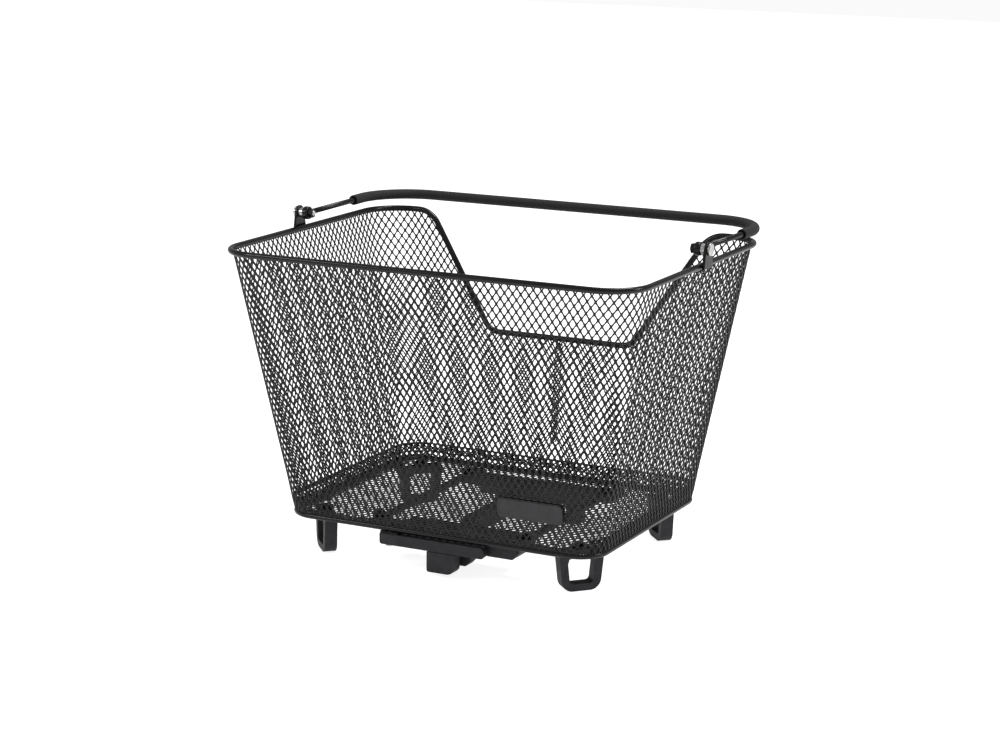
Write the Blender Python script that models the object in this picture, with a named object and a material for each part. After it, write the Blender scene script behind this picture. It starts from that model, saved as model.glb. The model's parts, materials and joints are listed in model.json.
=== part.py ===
"""Wire basket for a rear carrier: mesh tub, folding carry handle and a latching adapter with four feet.

The origin is the middle of the adapter's underside, where it sits on the carrier.
X runs along the long side, +Y to the side with the dip in the rim, +Z up. Metres.
"""

import math

import bmesh
import bpy
from mathutils import Matrix, Vector

# --- Driving dimensions ---------------------------------------------------
GAP = 0.0003                # clearance between pieces that touch

RIM_LENGTH = 0.400          # top rim, along its wire's centre
RIM_WIDTH = 0.2976
RIM_CORNER = 0.036
RIM_WIRE = 0.0056
DIP_DEPTH = 0.110           # the dip in the far side of the rim
DIP_BOTTOM = 0.148          # its length at the bottom and at the top
DIP_TOP = 0.292
DIP_TOP_BEND = 0.026
DIP_BOTTOM_BEND = 0.018

RING_LENGTH = 0.3068        # bottom ring, along its wire's centre
RING_WIDTH = 0.2304
RING_CORNER = 0.026
RING_WIRE = 0.0050
RING_SHIFT = 0.0035         # the ring's middle lies this far behind the rim's
TUB_HEIGHT = 0.240          # ring centre to rim centre
MESH = 0.0016               # thickness of the expanded mesh
SKIRT = 0.030               # height at which the wall turns steeper
SKIRT_FLARE = 0.0005        # how far the wall stands out there from a straight line

SEAM_WIDTH = 0.006          # lap seam of the wall mesh, in the middle of the far side
SEAM_THICKNESS = 0.001

ADAPTER_DEPTH = 0.0145      # carrier seat to ring centre

EAR_THICKNESS = 0.0025
EAR_BASE = 0.020
EAR_FOOT = 0.0022           # how far the ear reaches below the rim's centre
EAR_TOP_RADIUS = 0.0066
PIVOT_RISE = 0.0143         # handle pivot above the rim's centre

HANDLE_WIRE = 0.0050
HANDLE_REACH = 0.160        # pivot to the cross bar
HANDLE_SPREAD = 0.0065      # how far each arm leans out on its way to the bend
HANDLE_BEND = 0.050
HANDLE_DROP = 0.0012        # the folded cross bar hangs this far below the pivots
EYE_RADIUS = 0.0060
EYE_THICKNESS = HANDLE_WIRE + 0.0005
GRIP = 0.0096
GRIP_ON_ARM = 0.070         # length of arm, from the cross bar's centre line, that the sleeve covers

PIVOT_SHANK = 0.0050
PIVOT_HEAD = 0.0112
PIVOT_HEAD_HEIGHT = 0.0022
PIVOT_SPACER = 0.0095
PIVOT_SPACER_LENGTH = 0.0038
NUT_SIZE = 0.0080           # across the flats
NUT_HEIGHT = 0.0034

RAIL_WIDTH = 0.009
RAIL_THICKNESS = 0.003
RAIL_X = 0.073
CENTRE_RAIL_WIDTH = 0.014
WEB_THICKNESS = 0.003
WEB_LENGTH = 0.166
WEB_WIDTH = 0.038
WING_WIDTH = 0.0195         # the near web is narrower left of the bracket, under the rail
WEB_INSET = 0.0026          # ring wire to the edge of the far web
SCREW_INSET = 0.0320        # ring wire's centre to the rail screws
BRACKET_LENGTH = 0.108
BRACKET_WIDTH = 0.046
BRACKET_INSET = 0.0136      # near wire's centre to the bracket's body
FAR_BRACKET_WIDTH = 0.026
BODY_STEP = 0.0006          # the bracket's body stops this far under the top of its web
SIDE_BLOCK_LENGTH = 0.0245  # block right of the lever, with a chamfered lower end
SIDE_BLOCK_WIDTH = 0.027
SIDE_BLOCK_CHAMFER = 0.006
LUG_REACH = 0.009           # half length of the lug that carries the lever's pin
LUG_FRONT = 0.0043          # how far it reaches in front of the pin
NEAR_CLAW_X = 0.0153
NEAR_CLAW_LENGTH = 0.0118
NEAR_CLAW_DEPTH = 0.0150
NEAR_CLAW_WIDTH = 0.013
NEAR_CLAW_CHAMFER = 0.0050
FAR_CLAW_X = 0.038
FAR_CLAW_LENGTH = 0.018
FAR_CLAW_DEPTH = 0.020
FAR_CLAW_REACH = 0.016      # back to the tip of the toe
FAR_CLAW_WALL = 0.006
FAR_CLAW_MOUTH = 0.011      # seat to the toe, for the carrier's tube
CLAW_BEVEL = 0.0008

FOOT_X = 0.1270             # middle of each foot
FOOT_Y = 0.0880             # from the ring's middle
FOOT_TURN = math.radians(47)
FOOT_TOP_WIDTH = 0.0425
FOOT_BOTTOM_WIDTH = 0.0345
FOOT_THICKNESS = 0.0115
FOOT_REACH = 0.0375         # ring centre to the ground
FOOT_POST = 0.0073
FOOT_BAR = 0.0065
FOOT_TOP_BAR = 0.0070
FOOT_CORNER = 0.009
WINDOW_CORNER = 0.003

SCREW_SHANK = 0.0040
SCREW_HEAD = 0.0078
SCREW_HEAD_HEIGHT = 0.0024
WASHER = 0.0150
WASHER_THICKNESS = 0.0012

LEVER_LENGTH = 0.104
LEVER_HEIGHT = 0.0102
LEVER_THICKNESS = 0.0087
LEVER_PIN = 0.0040
LEVER_PIN_X = -0.046
LEVER_HEEL = 0.008          # length of lever left of its pin
LEVER_STEP = 0.0105         # pin to the step where the lever clears the lug
LEVER_CLEARANCE = 0.0015    # ring wire to the lever's top
LEVER_PLAY = 0.0008         # back of the lever to the near web
LEVER_TIP = 0.0042          # corner radius of its free end
LATCH_X = 0.0068            # where the lever's peg drives the latch
LATCH_WIDTH = 0.0265
LATCH_DROP = 0.0185         # how far the latch hangs below the lever
LATCH_BODY = 0.0133
LATCH_CORNER = 0.006
LATCH_TOE = 0.0110
TOE_HEIGHT = 0.0056
TOE_LENGTH = 0.0180
TONGUE_SHIFT = 0.0062       # middle of the latch's tongue, right of the peg
TONGUE_RISE = 0.0042        # and above the lever's underside
TONGUE_WIDTH = 0.010
TONGUE_HEIGHT = 0.0037
TONGUE_LENGTH = 0.028
TUNNEL_WALL = 0.004         # closed back of the tongue's tunnel
PEG = 0.0050
PEG_LENGTH = 0.0040
PEG_PLAY_LEFT = 0.0020      # slot beyond the peg, for its arc as the lever swings
PEG_PLAY_RIGHT = 0.0005
SPRING_WIRE = 0.0006
SPRING_RADIUS = 0.0014
SPRING_TURNS = 9

BADGE_LENGTH = 0.062
BADGE_HEIGHT = 0.018
BADGE_THICKNESS = 0.0025
BADGE_X = 0.0965
BADGE_RISE = 0.0375         # above the ring's centre
BADGE_CORNER = 0.004
BACKPLATE_THICKNESS = 0.0015

OVERLAP = 0.001             # how far shapes that are joined reach into each other
CUT_PAST = 0.002            # how far a cutter passes a face

# --- Derived levels and places --------------------------------------------
RING_Z = ADAPTER_DEPTH
RIM_Z = RING_Z + TUB_HEIGHT
PIVOT_Z = RIM_Z + PIVOT_RISE
FLOOR_TOP = RING_Z + MESH / 2
FLOOR_BOTTOM = RING_Z - MESH / 2
RAIL_TOP = FLOOR_BOTTOM - GAP
RAIL_BOTTOM = RAIL_TOP - RAIL_THICKNESS
WEB_TOP = RAIL_BOTTOM - GAP
WEB_BOTTOM = WEB_TOP - WEB_THICKNESS
NEAR_Y = RING_SHIFT - RING_WIDTH / 2        # the ring's near and far wires
FAR_Y = RING_SHIFT + RING_WIDTH / 2
FAR_WEB_Y = FAR_Y - RING_WIRE / 2 - WEB_INSET
BRACKET_NEAR_Y = NEAR_Y + BRACKET_INSET
BODY_TOP = WEB_TOP - BODY_STEP
TUNNEL_END = BRACKET_NEAR_Y + BRACKET_WIDTH - TUNNEL_WALL
LEVER_Y = NEAR_Y                            # the lever hangs right under the near wire
LEVER_TOP = RING_Z - RING_WIRE / 2 - LEVER_CLEARANCE
LEVER_BOTTOM = LEVER_TOP - LEVER_HEIGHT
NEAR_WEB_Y = LEVER_Y + LEVER_THICKNESS / 2 + LEVER_PLAY
LUG_BOTTOM = WEB_BOTTOM - GAP               # so that the lever's heel swings under the web
TONGUE_X = LATCH_X + TONGUE_SHIFT
TONGUE_Z = LEVER_BOTTOM + TONGUE_RISE
EAR_X = RIM_LENGTH / 2 + RIM_WIRE / 2 + GAP
EAR_OUT = EAR_X + EAR_THICKNESS
SPACER_IN = EAR_X - GAP - PIVOT_SPACER_LENGTH
EYE_X = SPACER_IN - GAP - EYE_THICKNESS / 2
NUT_X = EYE_X - EYE_THICKNESS / 2 - GAP - NUT_HEIGHT / 2
SHANK_HOLE = PIVOT_SHANK / 2 + GAP
SCREW_HOLE = SCREW_SHANK / 2 + GAP
RAIL_SCREWS = ((-RAIL_X, NEAR_Y + SCREW_INSET), (RAIL_X, NEAR_Y + SCREW_INSET),
               (-RAIL_X, FAR_Y - SCREW_INSET), (RAIL_X, FAR_Y - SCREW_INSET))
FEET = {"near_left": (-1, -1), "near_right": (1, -1), "far_left": (-1, 1), "far_right": (1, 1)}

# --- Finishes -------------------------------------------------------------
FINISHES = {
    "black_powder_coat": ((0.015, 0.015, 0.016), 0.35, 0.0),
    "black_mesh": ((0.017, 0.016, 0.018), 0.42, 0.0),
    "grip_sleeve": ((0.055, 0.056, 0.058), 0.75, 0.0),
    "moulded_plastic": ((0.045, 0.044, 0.047), 0.55, 0.0),
    "zinc": ((0.62, 0.62, 0.60), 0.30, 1.0),
    "spring_steel": ((0.45, 0.45, 0.47), 0.35, 1.0),
    "badge": ((0.050, 0.049, 0.052), 0.45, 0.0),
}


def finish(name):
    material = bpy.data.materials.get(name)
    if material is None:
        colour, roughness, metallic = FINISHES[name]
        material = bpy.data.materials.new(name)
        material.use_nodes = True
        shader = material.node_tree.nodes["Principled BSDF"]
        shader.inputs["Base Color"].default_value = (*colour, 1)
        shader.inputs["Roughness"].default_value = roughness
        shader.inputs["Metallic"].default_value = metallic
    return material


def add_object(name, bm, finish_name=None, location=(0, 0, 0), turn=(0, 0, 0), parent=None):
    """The bmesh as an object. Without a finish it is a hidden cutter."""
    bmesh.ops.remove_doubles(bm, verts=bm.verts, dist=1e-6)
    bmesh.ops.recalc_face_normals(bm, faces=bm.faces)
    mesh = bpy.data.meshes.new(name)
    bm.to_mesh(mesh)
    bm.free()
    obj = bpy.data.objects.new(name, mesh)
    bpy.context.scene.collection.objects.link(obj)
    obj.location = location
    obj.rotation_euler = turn
    obj.parent = parent
    if finish_name is None:
        obj.hide_render = True
        obj.display_type = "WIRE"
    else:
        mesh.shade_smooth()
        mesh.set_sharp_from_angle(angle=math.radians(35))
        mesh.materials.append(finish(finish_name))
    return obj


def add_pivot(name, location):
    pivot = bpy.data.objects.new(name, None)
    pivot.location = location
    bpy.context.scene.collection.objects.link(pivot)
    return pivot


def combine(obj, helper, operation):
    modifier = obj.modifiers.new(helper.name, "BOOLEAN")
    modifier.operation = operation
    modifier.solver = "EXACT"
    modifier.object = helper
    helper.parent = obj.parent


def cut(obj, helper):
    combine(obj, helper, "DIFFERENCE")


def join(obj, helper):
    combine(obj, helper, "UNION")


def bevel(obj, width, segments=2):
    modifier = obj.modifiers.new("edges", "BEVEL")
    modifier.width = width
    modifier.segments = segments
    modifier.limit_method = "ANGLE"
    modifier.angle_limit = math.radians(40)


# --- Shapes ---------------------------------------------------------------
def box(low, high):
    bm = bmesh.new()
    size = Vector(high) - Vector(low)
    middle = (Vector(high) + Vector(low)) / 2
    matrix = Matrix.Translation(middle) @ Matrix.Diagonal((*size, 1))
    bmesh.ops.create_cube(bm, size=1, matrix=matrix)
    return bm


AXIS_TURN = {"X": Matrix.Rotation(math.pi / 2, 4, "Y"), "Y": Matrix.Rotation(math.pi / 2, 4, "X"),
             "Z": Matrix.Identity(4)}


def cylinder(radius, start, end, axis, centre=(0, 0, 0), sides=20):
    """A cylinder along axis from start to end, measured along that axis from centre."""
    bm = bmesh.new()
    along = Vector([float(letter == axis) for letter in "XYZ"])
    matrix = Matrix.Translation(Vector(centre) + along * (start + end) / 2) @ AXIS_TURN[axis]
    bmesh.ops.create_cone(bm, cap_ends=True, segments=sides, radius1=radius, radius2=radius,
                          depth=end - start, matrix=matrix)
    return bm


def prism(outline, start, end, plane):
    """An outline of (u, v) points in the plane "XZ" or "YZ" or "XY", extruded from start to end."""
    places = {"XZ": lambda u, v: (u, start, v), "YZ": lambda u, v: (start, u, v),
              "XY": lambda u, v: (u, v, start)}
    along = {"XZ": (0, 1, 0), "YZ": (1, 0, 0), "XY": (0, 0, 1)}
    bm = bmesh.new()
    face = bm.faces.new([bm.verts.new(places[plane](u, v)) for u, v in outline])
    moved = bmesh.ops.extrude_face_region(bm, geom=[face])["geom"]
    verts = [item for item in moved if isinstance(item, bmesh.types.BMVert)]
    bmesh.ops.translate(bm, verts=verts, vec=Vector(along[plane]) * (end - start))
    return bm


def filleted(corners, radii, steps=5, closed=True):
    """The polyline through corners with each corner rounded by its radius."""
    corners = [Vector(corner) for corner in corners]
    points = []
    count = len(corners)
    for i, corner in enumerate(corners):
        if radii[i] == 0 or (not closed and i in (0, count - 1)):
            points.append(corner)
            continue
        back = (corners[i - 1] - corner).normalized()
        ahead = (corners[(i + 1) % count] - corner).normalized()
        half = back.angle(ahead) / 2
        centre = corner + (back + ahead).normalized() * radii[i] / math.sin(half)
        first = corner + back * radii[i] / math.tan(half) - centre
        last = corner + ahead * radii[i] / math.tan(half) - centre
        turn = first.angle(last)
        for step in range(steps + 1):
            share = step / steps
            points.append(centre + (first * math.sin((1 - share) * turn)
                                    + last * math.sin(share * turn)) / math.sin(turn))
    return points


def rounded_outline(length, width, corner, centre_y=0.0, steps=5):
    half_x = length / 2
    half_y = width / 2
    corners = [(-half_x, centre_y - half_y, 0), (half_x, centre_y - half_y, 0),
               (half_x, centre_y + half_y, 0), (-half_x, centre_y + half_y, 0)]
    return [(point.x, point.y) for point in filleted(corners, [corner] * 4, steps)]


def sweep(points, radii, sides, closed=False):
    """A round wire, or with two radii a tube, along the points."""
    points = [Vector(point) for point in points]
    count = len(points)
    bm = bmesh.new()
    across = None
    rings = []
    for i, point in enumerate(points):
        before = points[i - 1] if closed or i > 0 else point
        after = points[(i + 1) % count] if closed or i < count - 1 else point
        along = (after - before).normalized()
        if across is None:
            across = along.orthogonal()
        across = (across - along * across.dot(along)).normalized()
        side = along.cross(across)
        rings.append([
            [bm.verts.new(point + (across * math.cos(angle) + side * math.sin(angle)) * radius)
             for angle in (2 * math.pi * k / sides for k in range(sides))]
            for radius in radii])
    pairs = list(zip(rings, rings[1:]))
    if closed:
        pairs.append((rings[-1], rings[0]))
    for one, two in pairs:
        for layer in range(len(radii)):
            for k in range(sides):
                j = (k + 1) % sides
                bm.faces.new((one[layer][k], one[layer][j], two[layer][j], two[layer][k]))
    if closed:
        return bm
    for ring in (rings[0], rings[-1]):
        if len(radii) == 1:
            bm.faces.new(ring[0])
            continue
        for k in range(sides):
            j = (k + 1) % sides
            bm.faces.new((ring[0][k], ring[0][j], ring[1][j], ring[1][k]))
    return bm


def round_plate(name, finish_name, radius, hole, start, end, axis, centre, sides=20):
    """A washer-like piece with a round hole through it."""
    obj = add_object(name, cylinder(radius, start, end, axis, centre, sides), finish_name)
    cut(obj, add_object(name + "_hole", cylinder(hole, start - CUT_PAST, end + CUT_PAST, axis, centre, 16)))
    return obj


# --- Tub: rim, ring and mesh ----------------------------------------------
def wall_share(z):
    return (z - RING_Z) / TUB_HEIGHT


def far_wall_y(z):
    return FAR_Y + (RIM_WIDTH / 2 - FAR_Y) * wall_share(z)


def near_wall_y(z):
    return NEAR_Y + (-RIM_WIDTH / 2 - NEAR_Y) * wall_share(z)


def wall_section(z, flare=0.0):
    """(z, length, width, corner, centre_y) of the mesh wall at a height, flared outwards."""
    share = wall_share(z)
    length = RING_LENGTH + (RIM_LENGTH - RING_LENGTH) * share + 2 * flare
    width = RING_WIDTH + (RIM_WIDTH - RING_WIDTH) * share + 2 * flare
    corner = RING_CORNER + (RIM_CORNER - RING_CORNER) * share + flare
    return z, length, width, corner, RING_SHIFT * (1 - share)


def wall_sections(top):
    clear = RING_WIRE / 2 + MESH / 2 + GAP
    foot = clear * math.sqrt(0.5)
    return [wall_section(RING_Z + foot, foot), wall_section(RING_Z + 0.009, 0.0017),
            wall_section(RING_Z + SKIRT, SKIRT_FLARE), wall_section(top)]


def wall_side(section, side, offset, steps=4):
    """Points along one side of the wall at a height, from one corner's middle to the next."""
    z, length, width, corner, centre_y = section
    half_x = length / 2 - corner
    half_y = width / 2 - corner
    middles = [(-half_x, -half_y), (half_x, -half_y), (half_x, half_y), (-half_x, half_y)]
    trim = GAP / 2 / corner
    start = math.radians(225 + 90 * side)
    points = []
    for k, (first, last) in enumerate(((trim, math.pi / 4), (math.pi / 4, math.pi / 2 - trim))):
        x, y = middles[(side + k) % 4]
        for step in range(steps + 1):
            angle = start + first + (last - first) * step / steps
            reach = corner + offset
            points.append((x + reach * math.cos(angle), centre_y + y + reach * math.sin(angle), z))
    return points


def make_wall(name, side, sections):
    bm = bmesh.new()
    grids = []
    for offset in (MESH / 2, -MESH / 2):
        grids.append([[bm.verts.new(point) for point in wall_side(section, side, offset)]
                      for section in sections])
    outer, inner = grids
    rows = len(outer)
    columns = len(outer[0])
    for grid in grids:
        for r in range(rows - 1):
            for c in range(columns - 1):
                bm.faces.new((grid[r][c], grid[r][c + 1], grid[r + 1][c + 1], grid[r + 1][c]))
    for r in (0, rows - 1):
        for c in range(columns - 1):
            bm.faces.new((outer[r][c], outer[r][c + 1], inner[r][c + 1], inner[r][c]))
    for c in (0, columns - 1):
        for r in range(rows - 1):
            bm.faces.new((outer[r][c], outer[r + 1][c], inner[r + 1][c], inner[r][c]))
    return add_object(name, bm, "black_mesh")


def dip_corners(clear):
    """Corner points (x, z) of the dip, moved down and out by clear."""
    rise = DIP_DEPTH
    run = (DIP_TOP - DIP_BOTTOM) / 2
    slope = math.atan2(rise, run)
    out = clear * math.tan(slope / 2)
    bottom = RIM_Z - rise - clear
    top = RIM_Z - clear
    half = DIP_BOTTOM / 2 + out
    reach = half + (top - bottom) / math.tan(slope)
    return [(-reach, top), (-half, bottom), (half, bottom), (reach, top)]


def make_tub():
    half_x = RIM_LENGTH / 2
    half_y = RIM_WIDTH / 2
    dip = [(x, far_wall_y(z), z) for x, z in reversed(dip_corners(0.0))]
    path = filleted(
        [(-half_x, -half_y, RIM_Z), (half_x, -half_y, RIM_Z), (half_x, half_y, RIM_Z), *dip,
         (-half_x, half_y, RIM_Z)],
        [RIM_CORNER] * 3 + [DIP_TOP_BEND, DIP_BOTTOM_BEND, DIP_BOTTOM_BEND, DIP_TOP_BEND, RIM_CORNER],
        steps=7)
    add_object("top_rim", sweep(path, [RIM_WIRE / 2], 10, closed=True), "black_powder_coat")

    ring = [(x, y, RING_Z) for x, y in
            rounded_outline(RING_LENGTH, RING_WIDTH, RING_CORNER, RING_SHIFT, 7)]
    add_object("bottom_ring", sweep(ring, [RING_WIRE / 2], 10, closed=True), "black_powder_coat")

    clear = RIM_WIRE / 2 + GAP
    for side, name in ((0, "near_wall_mesh"), (1, "right_wall_mesh"), (3, "left_wall_mesh")):
        make_wall(name, side, wall_sections(RIM_Z - clear))
    far_wall = make_wall("far_wall_mesh", 2, wall_sections(RIM_Z))
    wide = RIM_LENGTH
    corners = [(-wide, 0, RIM_Z - clear)] + [(x, 0, z) for x, z in dip_corners(clear)]
    corners.append((wide, 0, RIM_Z - clear))
    edge = filleted(corners, [0, DIP_TOP_BEND - clear, DIP_BOTTOM_BEND + clear,
                              DIP_BOTTOM_BEND + clear, DIP_TOP_BEND - clear, 0], closed=False)
    outline = [(point.x, point.z) for point in edge] + [(wide, RIM_Z + 0.05), (-wide, RIM_Z + 0.05)]
    cut(far_wall, add_object("dip_cutter", prism(outline, 0.0, RIM_WIDTH, "XZ")))

    inset = RING_WIRE / 2 + GAP
    outline = rounded_outline(RING_LENGTH - 2 * inset, RING_WIDTH - 2 * inset,
                              RING_CORNER - inset, RING_SHIFT)
    floor = add_object("floor_mesh", prism(outline, FLOOR_BOTTOM, FLOOR_TOP, "XY"), "black_mesh")
    cut_screw_holes(floor, (*RAIL_SCREWS, *foot_places()), RING_Z)

    low = RING_Z + SKIRT + OVERLAP
    high = RIM_Z - DIP_DEPTH - RIM_WIRE / 2 - 2 * GAP
    lean = math.atan2(far_wall_y(high) - far_wall_y(low), high - low)
    middle = (low + high) / 2
    half = SEAM_THICKNESS / 2
    out = SKIRT_FLARE + (MESH / 2 + GAP + half) / math.cos(lean)
    strip = box((-SEAM_WIDTH / 2, -half, (low - high) / 2), (SEAM_WIDTH / 2, half, (high - low) / 2))
    add_object("seam_strip", strip, "black_mesh", (0, far_wall_y(middle) + out, middle), (-lean, 0, 0))


# --- Handle with its ears and pivots --------------------------------------
def make_ears():
    bottom = RIM_Z - EAR_FOOT
    outline = [(-EAR_BASE / 2, bottom), (EAR_BASE / 2, bottom)]
    for step in range(9):
        angle = math.radians(12 + 156 * step / 8)
        outline.append((EAR_TOP_RADIUS * math.cos(angle), PIVOT_Z + EAR_TOP_RADIUS * math.sin(angle)))
    for side, name in ((-1, "left"), (1, "right")):
        ends = sorted((side * EAR_X, side * EAR_OUT))
        ear = add_object("ear_" + name, prism(outline, *ends, "YZ"), "black_powder_coat")
        cut(ear, add_object("ear_hole_" + name,
                            cylinder(SHANK_HOLE, ends[0] - CUT_PAST, ends[1] + CUT_PAST, "X",
                                     (0, 0, PIVOT_Z), 16)))

        head = sorted((side * (EAR_OUT + GAP), side * (EAR_OUT + GAP + PIVOT_HEAD_HEIGHT)))
        shank = sorted((side * (EAR_OUT + GAP + OVERLAP), side * (NUT_X - NUT_HEIGHT / 2 - OVERLAP)))
        screw = add_object("pivot_screw_" + name,
                           cylinder(PIVOT_HEAD / 2, *head, "X", (0, 0, PIVOT_Z), 24), "zinc")
        join(screw, add_object("pivot_shank_" + name,
                               cylinder(PIVOT_SHANK / 2, *shank, "X", (0, 0, PIVOT_Z), 16)))
        ends = sorted((side * SPACER_IN, side * (SPACER_IN + PIVOT_SPACER_LENGTH)))
        round_plate("pivot_spacer_" + name, "zinc", PIVOT_SPACER / 2, SHANK_HOLE, *ends, "X",
                    (0, 0, PIVOT_Z))
        ends = sorted((side * (NUT_X - NUT_HEIGHT / 2), side * (NUT_X + NUT_HEIGHT / 2)))
        round_plate("pivot_nut_" + name, "zinc", NUT_SIZE / math.sqrt(3), SHANK_HOLE, *ends, "X",
                    (0, 0, PIVOT_Z), sides=6)


def handle_path(start):
    """The handle wire's centre line about its pivot, beginning at start along each arm."""
    drop = HANDLE_DROP / HANDLE_REACH
    arm_x = EYE_X + HANDLE_SPREAD
    lean = HANDLE_SPREAD / HANDLE_REACH
    corners = [(-EYE_X - lean * start, start, -drop * start), (-arm_x, HANDLE_REACH, -HANDLE_DROP),
               (arm_x, HANDLE_REACH, -HANDLE_DROP), (EYE_X + lean * start, start, -drop * start)]
    return filleted(corners, [0, HANDLE_BEND, HANDLE_BEND, 0], steps=10, closed=False)


def make_handle():
    pivot = add_pivot("handle_pivot", (0, 0, PIVOT_Z))
    rod = add_object("handle_rod", sweep(handle_path(EYE_RADIUS / 2), [HANDLE_WIRE / 2], 12),
                     "black_powder_coat", parent=pivot)
    for side, name in ((-1, "left"), (1, "right")):
        ends = sorted((side * (EYE_X - EYE_THICKNESS / 2), side * (EYE_X + EYE_THICKNESS / 2)))
        join(rod, add_object("eye_" + name, cylinder(EYE_RADIUS, *ends, "X")))
    for side, name in ((-1, "left"), (1, "right")):
        ends = sorted((side * (EYE_X - EYE_THICKNESS), side * (EYE_X + EYE_THICKNESS)))
        cut(rod, add_object("eye_hole_" + name, cylinder(SHANK_HOLE, *ends, "X", sides=16)))
    add_object("grip_sleeve",
               sweep(handle_path(HANDLE_REACH - GRIP_ON_ARM), [GRIP / 2, HANDLE_WIRE / 2 + GAP], 14),
               "grip_sleeve", parent=pivot)


# --- Adapter: rails, brackets, claws and feet -------------------------------
def foot_places():
    return [(x * FOOT_X, RING_SHIFT + y * FOOT_Y) for x, y in FEET.values()]


def make_rails():
    for side, name in ((-1, "left"), (1, "right")):
        low = (side * RAIL_X - RAIL_WIDTH / 2, NEAR_WEB_Y + OVERLAP, RAIL_BOTTOM)
        high = (side * RAIL_X + RAIL_WIDTH / 2, FAR_WEB_Y - OVERLAP, RAIL_TOP)
        rail = add_object("rail_" + name, box(low, high), "moulded_plastic")
        cut_screw_holes(rail, [place for place in RAIL_SCREWS if place[0] * side > 0], RAIL_TOP)
    near_end = BRACKET_NEAR_Y + BRACKET_WIDTH + GAP
    far_end = FAR_WEB_Y - WEB_WIDTH - GAP
    add_object("rail_centre", box((-CENTRE_RAIL_WIDTH / 2, near_end, 0),
                                  (CENTRE_RAIL_WIDTH / 2, far_end, RAIL_TOP)), "moulded_plastic")


def cut_screw_holes(obj, places, z):
    for number, (x, y) in enumerate(places):
        hole = cylinder(SCREW_HOLE, -2 * WEB_THICKNESS, 2 * WEB_THICKNESS, "Z", (x, y, z), 16)
        cut(obj, add_object(f"{obj.name}_hole_{number}", hole))


def make_near_bracket():
    edge = BRACKET_LENGTH / 2
    bracket = add_object("near_bracket", box((-edge, BRACKET_NEAR_Y, 0),
                                             (edge, BRACKET_NEAR_Y + BRACKET_WIDTH, BODY_TOP)),
                         "moulded_plastic")
    end = edge + SIDE_BLOCK_LENGTH
    back = NEAR_WEB_Y + WEB_WIDTH
    outline = [(-edge + OVERLAP, NEAR_WEB_Y), (end - OVERLAP, NEAR_WEB_Y), (end - OVERLAP, back),
               (-WEB_LENGTH / 2, back), (-WEB_LENGTH / 2, back - WING_WIDTH),
               (-edge + OVERLAP, back - WING_WIDTH)]
    join(bracket, add_object("near_web", prism(outline, WEB_BOTTOM, WEB_TOP, "XY")))
    low = BODY_STEP
    high = WEB_TOP - OVERLAP
    outline = [(edge - BODY_STEP * 10, low), (end - SIDE_BLOCK_CHAMFER, low),
               (end, low + SIDE_BLOCK_CHAMFER), (end, high), (edge - BODY_STEP * 10, high)]
    front = NEAR_WEB_Y + OVERLAP
    join(bracket, add_object("side_block", prism(outline, front, front + SIDE_BLOCK_WIDTH, "XZ")))
    lug = box((LEVER_PIN_X - LUG_REACH, LEVER_Y - LUG_FRONT, LUG_BOTTOM),
              (LEVER_PIN_X + LUG_REACH, BRACKET_NEAR_Y - OVERLAP, LEVER_TOP + OVERLAP))
    join(bracket, add_object("pin_lug", lug))
    cut(bracket, add_object("pin_hole", cylinder(LEVER_PIN / 2 + GAP, -LEVER_HEIGHT, LEVER_HEIGHT, "Z",
                                                 (LEVER_PIN_X, LEVER_Y, LEVER_TOP), 16)))
    half = TONGUE_WIDTH / 2 + GAP
    half_height = TONGUE_HEIGHT / 2 + GAP
    tunnel = box((TONGUE_X - half, BRACKET_NEAR_Y - CUT_PAST, TONGUE_Z - half_height),
                 (TONGUE_X + half, TUNNEL_END, TONGUE_Z + half_height))
    cut(bracket, add_object("tongue_tunnel", tunnel))
    cut_screw_holes(bracket, RAIL_SCREWS[:2], WEB_TOP)

    right = NEAR_CLAW_X + NEAR_CLAW_LENGTH
    outline = [(NEAR_CLAW_X, -NEAR_CLAW_DEPTH), (right - NEAR_CLAW_CHAMFER, -NEAR_CLAW_DEPTH),
               (right, NEAR_CLAW_CHAMFER - NEAR_CLAW_DEPTH), (right, -GAP), (NEAR_CLAW_X, -GAP)]
    front = BRACKET_NEAR_Y + OVERLAP
    claw = add_object("near_claw", prism(outline, front, front + NEAR_CLAW_WIDTH, "XZ"), "moulded_plastic")
    bevel(claw, CLAW_BEVEL)


def make_far_bracket():
    near = FAR_WEB_Y - WEB_WIDTH
    bracket = add_object("far_bracket", box((-BRACKET_LENGTH / 2, near + OVERLAP, 0),
                                            (BRACKET_LENGTH / 2, near + FAR_BRACKET_WIDTH, BODY_TOP)),
                         "moulded_plastic")
    join(bracket, add_object("far_web", box((-WEB_LENGTH / 2, near, WEB_BOTTOM),
                                            (WEB_LENGTH / 2, FAR_WEB_Y, WEB_TOP))))
    cut_screw_holes(bracket, RAIL_SCREWS[2:], WEB_TOP)
    back = near + FAR_BRACKET_WIDTH - CUT_PAST
    tip = back - FAR_CLAW_REACH
    wall = back - FAR_CLAW_WALL
    toe_top = FAR_CLAW_MOUTH + CUT_PAST
    outline = [(back, -GAP), (back, -FAR_CLAW_DEPTH), (tip, -FAR_CLAW_DEPTH),
               (tip, (-FAR_CLAW_DEPTH - toe_top) / 2), (wall, -toe_top), (wall, -GAP)]
    for side, name in ((-1, "left"), (1, "right")):
        middle = side * FAR_CLAW_X
        claw = add_object("far_claw_" + name, prism(outline, middle - FAR_CLAW_LENGTH / 2,
                                                    middle + FAR_CLAW_LENGTH / 2, "YZ"), "moulded_plastic")
        bevel(claw, CLAW_BEVEL)


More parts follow.
